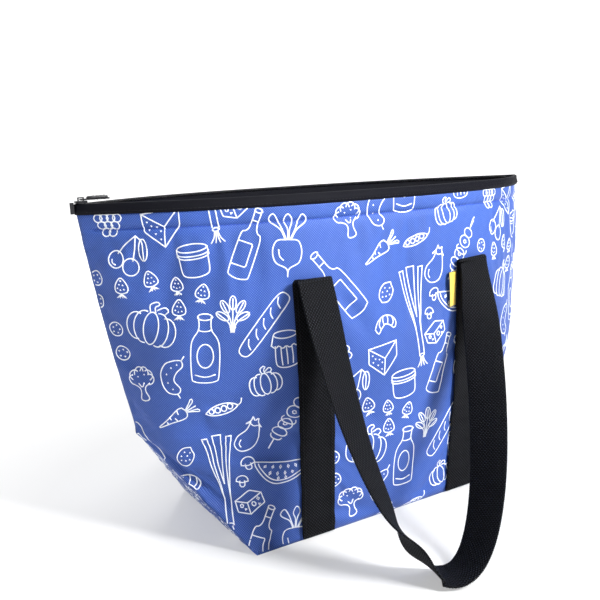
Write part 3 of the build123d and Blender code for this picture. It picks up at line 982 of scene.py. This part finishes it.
# each half of a loop: its two control points in millimetres, how far it turns, and how late
LOOPS = {
    ("front", "right"): ((90, -104, 159), (2, -229, -10), 112, 0.7),
    ("front", "left"): ((-84, -129, 142), (-86, -167, 50), 68, 1.2),
    ("back", "right"): ((96, 122, 130), (92, 188, 14), 90, 1.6),
    ("back", "left"): ((-96, 122, 130), (-92, 188, 14), 90, 1.6),
}
LOOP_FOOT = {"front": (-42, -193, 4.6), "back": (0, 206, 3.6)}
LOOP_POINTS, FOLD_POINTS = 120, 17
LOOP_ROLL = math.radians(-32)      # the front loop's left half rolls nearly edge-on before its foot
ROLL_AT, ROLL_WIDE = 0.86, 0.1
TURN_FROM = 0.25                   # the turn is full strength from this share of the way
HINGE_Y = {side: abs(joint["pos_m"][1]) for side in SIDES for joint in frame["joints"]
           if joint["name"] == f"{side}_handle_swing"}
legs = {}


def webbing(name, centre, wide, thick, body=None):
    """Ribbed webbing along a path: wide points across it, thick points off its outer face."""
    gone = travelled(centre)
    profile = WEB_FACE + [(-s, -t) for s, t in WEB_FACE]
    rib = RIB_HEIGHT * np.cos(2 * math.pi * gone / RIB)
    rings, uv = [], []
    for s, t in profile:
        offset = (WEB_T / 2 + rib) * t
        rings.append(centre + wide * (s * WEB_W / 2) + thick * offset[:, None])
        uv.append(np.stack([np.full_like(gone, s * WEB_W / 2), gone], 1))
    points = np.stack(rings, 1).reshape(-1, 3)
    obj = mesh_object(name, points, tube_faces(len(centre), len(profile)))
    return finish_piece(obj, WEBBING, body, np.stack(uv, 1).reshape(-1, 2))


def steadied(values, window):
    """Values averaged along the path, as stiff webbing would lie."""
    ends = [np.repeat(v, window, 0) for v in (values[:1], values[-1:])]
    longer = np.concatenate([ends[0], values, ends[1]])
    kernel = np.hanning(2 * window + 1)
    kernel /= kernel.sum()
    columns = longer.reshape(len(longer), -1).T
    return np.stack([np.convolve(c, kernel, "valid") for c in columns], 1).reshape(values.shape)


def leg_frames(side, sx, z):
    """Middle, width and outward directions of a sewn leg at heights z."""
    middle = np.array([flat_of(sx * float(leg_mid(h)), h) for h in z])
    across = [wall_point(side, middle + k * WEB_W / 4, z) for k in (-2, 2, -1, 0, 1)]
    left, right = across[:2]
    ends = steadied((left + right) / 2, LEG_CALM)
    wide = unit(steadied(unit(right - left), LEG_CALM))
    up = unit(np.gradient(ends, axis=0))
    thick = unit(np.cross(wide, up)) * -SIDES[side]
    push = np.max([np.sum((p - ends) * thick, axis=1) for p in across], axis=0)
    reach = np.max([np.roll(push, k) for k in range(-PUSH_REACH, PUSH_REACH + 1)], axis=0)
    push = steadied(np.maximum(0, reach), PUSH_CALM)
    centre = ends + thick * (push + LEG_CLEAR + WEB_T / 2 + RIB_HEIGHT)[:, None]
    return centre, wide, thick


for side in SIDES:
    for end, sx in ENDS.items():
        legs[side, end] = leg_frames(side, sx, np.arange(LEG_FOOT, FOLD_Z, RIB_STEP))
        obj = webbing(f"handle_leg_{side}_{end}_web", *legs[side, end], body="bag")
        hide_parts(f"handle_leg_{side}_{end}")


def bezier(p, t):
    t = t[:, None]
    return ((1 - t) ** 3 * p[0] + 3 * t * (1 - t) ** 2 * p[1] + 3 * t * t * (1 - t) * p[2]
            + t ** 3 * p[3])


def evenly(path, extra, step):
    """A path and what goes with each point, resampled at even steps."""
    gone = travelled(path)
    d = np.linspace(0, gone[-1], round(gone[-1] / step) + 1)
    out = at_distances(d, gone, np.concatenate([path, extra], 1))
    return out[:, :3], out[:, 3:]


def loop_half(side, end):
    """Path and width direction of half a hanging loop, from its fold to its foot."""
    sx, sy = ENDS[end], SIDES[side]
    high, low, degrees, late = LOOPS[side, end]
    top = np.array([sx * float(leg_mid(FOLD_Z)), sy * (HINGE_Y[side] + FOLD_R), FOLD_Z])
    t = np.linspace(0, 1, LOOP_POINTS)
    turn = math.radians(degrees) * t ** late * smooth(t / TURN_FROM)
    path = bezier([top] + [np.array(p) * MM for p in (high, low, LOOP_FOOT[side])], t)
    wide = np.stack([sx * np.cos(turn), sy * np.sin(turn), 0 * turn], 1)
    if (side, end) == ("front", "left"):
        travel = unit(np.gradient(path, axis=0))
        roll = (LOOP_ROLL * np.exp(-((t - ROLL_AT) / ROLL_WIDE) ** 2))[:, None]
        wide = square_to(wide, travel)
        wide = wide * np.cos(roll) + np.cross(travel, wide) * np.sin(roll)
    return path, wide


def fold_over(side, end, target, end_wide):
    """The webbing's turn over the joint, from the top of a leg to the start of its loop."""
    centre, across, _ = (g[-1] for g in legs[side, end])
    reach = (target - centre) / 2
    angle = np.linspace(0, math.pi, FOLD_POINTS)[:, None]
    lift = np.linalg.norm(reach) * np.array([0, 0, 1.0])
    arc = (centre + target) / 2 - reach * np.cos(angle) + lift * np.sin(angle)
    end_wide = end_wide * np.sign(np.dot(end_wide, across))
    travel = unit(np.gradient(arc, axis=0))
    turned = square_to(unit(lerp(across, end_wide, smooth(angle / math.pi))), travel)
    face = unit(np.cross(turned, travel)) * -SIDES[side]
    fold = webbing(f"handle_fold_{side}_{end}", arc, turned, face)
    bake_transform(fold)


for side in SIDES:
    halves = [loop_half(side, end) for end in ("right", "left")]
    path, wide = (np.concatenate([right, left[-2::-1]]) for right, left in zip(*halves))
    path, wide = evenly(path, wide, RIB_STEP)
    along = unit(np.gradient(path, axis=0))
    wide = square_to(wide, along)
    obj = webbing(f"handle_loop_{side}_web", path, wide, unit(np.cross(along, wide)),
                  body=f"{side}_handle")
    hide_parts(f"handle_loop_{side}")
    for end, k in (("right", 0), ("left", -1)):
        fold_over(side, end, path[k], wide[k])


# ---- zip tape with its coil, and the pull's grip ----
# across the tape, in millimetres: out from the wall's outer face, and down from the rim
TAPE_PROFILE = [(0.2, 8.8), (0.7, 8.6), (1.05, 8.0), (1.3, 7.0), (1.35, 6.0), (1.15, 4.8),
                (0.75, 3.6), (0.5, 2.4), (0.45, 1.2), (0.2, 0.45), (-0.4, 0.1), (-1.0, 0.6),
                (-0.9, 2.4), (-1.5, 4.2), (-1.9, 6.0), (-2.2, 9.0), (-2.5, 12.0), (-2.45, 17.0),
                (-1.0, 17.0), (-0.6, 9.4)]
COIL_R = 0.95 * MM
COIL_WIRE = 0.34 * MM
COIL_PITCH = 1.5 * MM
COIL_STEPS = 8           # points in a turn
COIL_END = 10 * MM       # the coil stops this far from the side seams
COIL_IN, COIL_DOWN = 1.9 * MM, 1.5 * MM
GRIP_RINGS, GRIP_PER = 25, 24
GRIP_FROM = 0.22         # share of the pull that it leaves bare
GRIP_SIDE = 0.9 * MM     # how far it stands past the pull, to the sides, above and below
GRIP_RISE = 2.2 * MM
GRIP_DROP = 0.2 * MM
GRIP_END = 1 * MM
GRIP_RIDGE, GRIP_RIDGES = 0.12 * MM, 6
GRIP_RIDGED = (0.3, 0.9) # the shares of its length that the ridges lie between
GRIP_SLIM = 0.86         # size at the slider, as a share of that at the free end
UP = np.array([0, 0, 1.0])


def tape(side):
    cols = round(2 * SPANS[-1] / STEP) + 1
    rings, uv = [], []
    for out, drop in TAPE_PROFILE:
        z = np.full(cols, RIM_Z - drop * MM)
        along = np.linspace(-1, 1, cols) * span(z)
        rings.append(wall_point(side, along, z, out * MM))
        uv.append(np.stack([along, z], 1))
    polygons = tube_faces(cols, len(TAPE_PROFILE))
    if side == "front":
        polygons = [tuple(reversed(p)) for p in polygons]
    obj = mesh_object(f"zip_tape_{side}_cloth", np.stack(rings, 1).reshape(-1, 3), polygons)
    finish_piece(obj, TAPE, uv=np.stack(uv, 1).reshape(-1, 2))
    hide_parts(f"zip_tape_{side}")


def coil(side):
    """The zip's nylon coil: a helix along the inner top edge of the tape."""
    reach = SPANS[-1] - COIL_END
    n = int(2 * reach / COIL_PITCH) * COIL_STEPS
    along = np.linspace(-reach, reach, n)
    angle = np.arange(n) * 2 * math.pi / COIL_STEPS
    z = np.full(n, RIM_Z)
    base = wall_point(side, along, z)
    out = unit((wall_point(side, along, z, 1 * MM) - base) * (1, 1, 0))
    centre = base - out * COIL_IN - UP * COIL_DOWN
    path = centre + out * (COIL_R * np.cos(angle))[:, None] + UP * (COIL_R * np.sin(angle))[:, None]
    travel = unit(np.gradient(path, axis=0))
    one = unit(path - centre)
    two = unit(np.cross(travel, one))
    ring = [path + COIL_WIRE * (one * c + two * s) for c, s in ((1, 0), (0, 1), (-1, 0), (0, -1))]
    obj = mesh_object(f"zip_coil_{side}_helix", np.stack(ring, 1).reshape(-1, 3), tube_faces(n, 4))
    finish_piece(obj, COIL)
    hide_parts(f"zip_coil_{side}")


def pull_grip():
    """The moulded grip round the free end of the zip pull."""
    low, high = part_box("zip_pull")
    share = np.linspace(0, 1, GRIP_RINGS)[:, None]
    swell = np.sqrt(np.clip(1 - (2 * share - 1) ** 10, 0.05, 1)) * lerp(GRIP_SLIM, 1, share)
    ridge = GRIP_RIDGE * np.cos(2 * np.pi * share * GRIP_RIDGES)
    ridge = ridge * (share > GRIP_RIDGED[0]) * (share < GRIP_RIDGED[1])
    turn = np.linspace(0, 2 * np.pi, GRIP_PER, endpoint=False)
    y = np.sign(np.cos(turn)) * np.abs(np.cos(turn)) ** 0.5
    z = np.sign(np.sin(turn)) * np.abs(np.sin(turn)) ** 0.6
    half_y = (high.y - low.y) / 2 + GRIP_SIDE
    bottom = low.z - GRIP_DROP
    half_z = (high.z + GRIP_RISE - bottom) / 2
    x = lerp(lerp(low.x, high.x, GRIP_FROM), high.x - GRIP_END, share)
    points = np.stack([np.broadcast_to(x, (GRIP_RINGS, GRIP_PER)),
                       (low.y + high.y) / 2 + half_y * swell * y,
                       bottom + half_z + (half_z * swell + ridge) * z], -1)
    obj = mesh_object("zip_pull_grip", points.reshape(-1, 3), tube_faces(GRIP_RINGS, GRIP_PER))
    finish_piece(obj, COIL, body="pull_tab")


for side in SIDES:
    tape(side)
    coil(side)

for node in ("zip_end_tip", "zip_slider", "zip_pull"):
    cad = frame["nodes"][node]
    cad.data.materials.clear()
    cad.data.materials.append(METAL)
pull_grip()


# ---- label ----
LABEL_W = 11.0 * MM
LABEL_T = 0.5 * MM
LABEL_BULGE = 0.5 * MM
LABEL_TUCK = 0.5 * MM            # how far it goes in under the leg
LABEL_OFF = 1.2 * MM, 2.6 * MM   # height over the wall at the leg, and at its free edge


def label():
    """A stiff little flag caught under the leg's edge."""
    low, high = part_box("label")
    heights = np.array([low.z, high.z])
    seam = np.array([flat_of(float(leg_mid(h)) - WEB_W / 2, h) for h in heights])
    near = wall_point("front", seam + LABEL_TUCK, heights, LABEL_OFF[0])
    far = wall_point("front", seam - LABEL_W, heights, LABEL_OFF[1])
    v, u = np.meshgrid(np.linspace(0, 1, 17), np.linspace(0, 1, 8), indexing="ij")
    v, u = v[..., None], u[..., None]
    outer = lerp(lerp(far[0], far[1], v), lerp(near[0], near[1], v), u)
    facing = unit(np.cross(near[0] - far[0], far[1] - far[0]))
    outer = outer + facing * (LABEL_BULGE * np.sin(np.pi * v) * (1 - u))
    uv = np.concatenate([(1 - u) * LABEL_W, v * (high.z - low.z)], -1)
    obj, flat = slab("label_cloth", outer, outer - facing * LABEL_T, uv)
    finish_piece(obj, LABEL, uv=flat)
    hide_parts("label")


label()


# ---- sewing thread ----
STITCH = 3.2 * MM
THREAD_R = 0.28 * MM
STITCH_FROM, STITCH_TO = 0.1, 0.9    # the shares of its spacing that a stitch fills
STITCH_RISE, STITCH_DIP = 0.5, 0.2   # in millimetres
ROW_POINTS = 400
STITCH_ROOM = 9 * MM             # a wall's rows stop this far from the side seams
BAND_ROW = 6.6 * MM              # depth of the band's row below the rim
LEG_ROW = 0.4                    # place of a leg's rows, in widths from its middle
LEG_ENDS = 8                     # steps of the leg left bare at each end


def stitches(name, path, outward, finish):
    """A row of stitches along a path: each arches over the cloth and dips in at its ends."""
    gone = travelled(path)
    count = int(gone[-1] / STITCH)
    share = np.linspace(STITCH_FROM, STITCH_TO, 6)
    at = (gone[-1] - count * STITCH) / 2 + (np.arange(count)[:, None] + share) * STITCH
    middle, out = (at_distances(at, gone, g) for g in (path, outward))
    arch = np.sin(np.pi * np.linspace(0, 1, len(share)))[:, None]
    middle = middle + out * (STITCH_RISE * arch - STITCH_DIP) * MM
    travel = unit(np.gradient(middle, axis=1))
    wide = unit(np.cross(travel, out))
    up = np.cross(wide, travel)[:, :, None]
    turn = np.radians(np.arange(0, 360, 60))[:, None]
    ring = middle[:, :, None] + THREAD_R * (wide[:, :, None] * np.cos(turn) - up * np.sin(turn))
    per = ring.shape[1] * ring.shape[2]
    polygons = [f for k in range(count) for f in tube_faces(len(share), len(turn), k * per)]
    finish_piece(mesh_object(name, ring.reshape(-1, 3), polygons), finish)


def stitch_walls(side):
    rows = (("seam", SEAM_Z, 0.05 * MM, BLUE_THREAD),
            ("band", RIM_Z - BAND_ROW, 1.25 * MM, BLACK_THREAD))
    for name, height, lift, finish in rows:
        flat = np.linspace(-1, 1, ROW_POINTS) * (float(span(height)) - STITCH_ROOM)
        z = np.full_like(flat, height)
        path = wall_point(side, flat, z, lift)
        out = unit(wall_point(side, flat, z, lift + 1 * MM) - path)
        stitches(f"stitches_{name}_{side}", path, out, finish)


def stitch_leg(side, end):
    centre, wide, thick = (g[LEG_ENDS:-LEG_ENDS] for g in legs[side, end])
    for edge, k in ENDS.items():
        path = centre + wide * (k * LEG_ROW * WEB_W) + thick * (WEB_T / 2 + RIB_HEIGHT / 2)
        stitches(f"stitches_leg_{side}_{end}_{edge}", path, thick, BLACK_THREAD)


for side in SIDES:
    stitch_walls(side)
    for end in ENDS:
        stitch_leg(side, end)


# ---- stage ----
GLOW = (0.3, 1.0, 0.4, 1.0)      # the paper's glow: from and to this far, from and to this strong
LAMPS = {                        # place, target, size, power, spread in degrees
    "key": ((0.50, -1.08, 0.98), (-0.06, -0.09, 0.25), 0.4, 5.1, 60),
    "fill": ((-1.9, -1.2, 0.9), (0, 0, 0.12), 1.4, 2, 180),
    "top": ((0.3, 0.3, 1.6), (0, 0, 0.1), 1.0, 18, 180),
}
SKY = 0.18
PAPER_BACK, PAPER_BEND, PAPER_REACH = 2.6, 1.2, 9    # where the paper curves up, and its size
CAMERA_AT = (-0.3870, -0.5907, 0.3171)           # the view solved from the bag's outline
PITCH, AZIMUTH, ROLL = (math.radians(a) for a in (10.410, 30.374, -2.716))
LENS, SENSOR = 44.70, 36.0


def stage():
    """A sweep of pale paper that glows a little more the further it is from the bag."""
    bend = [(PAPER_BACK + PAPER_BEND * math.sin(a), PAPER_BEND - PAPER_BEND * math.cos(a))
            for a in np.linspace(0, math.pi / 2, 13)]
    run = [(-PAPER_REACH, 0), *bend, (PAPER_BACK + PAPER_BEND, PAPER_REACH)]
    points = [(x, y, z) for y, z in run for x in (-PAPER_REACH, PAPER_REACH)]
    sweep = mesh_object("paper", points, [(k, k + 1, k + 3, k + 2)
                                          for k in range(0, len(points) - 2, 2)])
    s = Shade("paper", Roughness=0.95, Base_Color=PAPER_GREY, Specular_IOR_Level=0.1,
              Emission_Color=(1, 1, 1, 1))
    away = s.node("ShaderNodeVectorMath", {0: s.place()}, operation="LENGTH").outputs["Value"]
    s.set("Emission Strength", s.ramp(away, *GLOW))
    finish_piece(sweep, s.material, body=None)


def lamp(name, place, target, size, power, spread):
    data = bpy.data.lights.new(name, "AREA")
    data.size, data.energy, data.spread = size, power, math.radians(spread)
    obj = link(name, data)
    obj.location = place
    obj.rotation_euler = (Vector(target) - Vector(place)).to_track_quat("-Z", "Y").to_euler()


def camera():
    level = Vector((math.sin(AZIMUTH), math.cos(AZIMUTH), 0))
    right = Vector((math.cos(AZIMUTH), -math.sin(AZIMUTH), 0))
    forward = math.cos(PITCH) * level - math.sin(PITCH) * Vector((0, 0, 1))
    up = math.cos(PITCH) * Vector((0, 0, 1)) + math.sin(PITCH) * level
    x = math.cos(ROLL) * right + math.sin(ROLL) * up
    y = -math.sin(ROLL) * right + math.cos(ROLL) * up
    data = bpy.data.cameras.new("camera")
    data.lens, data.sensor_width = LENS, SENSOR
    obj = link("camera", data)
    turn = Matrix((x, y, -forward)).transposed().to_4x4()
    obj.matrix_world = Matrix.Translation(CAMERA_AT) @ turn
    bpy.context.scene.camera = obj


stage()
camera()
for name, settings in LAMPS.items():
    lamp(name, *settings)
world = bpy.data.worlds.new("studio")
world.use_nodes = True
sky = world.node_tree.nodes["Background"].inputs
sky[0].default_value, sky[1].default_value = (1, 1, 1, 1), SKY
bpy.context.scene.world = world
bpy.context.scene.view_settings.view_transform = "Standard"
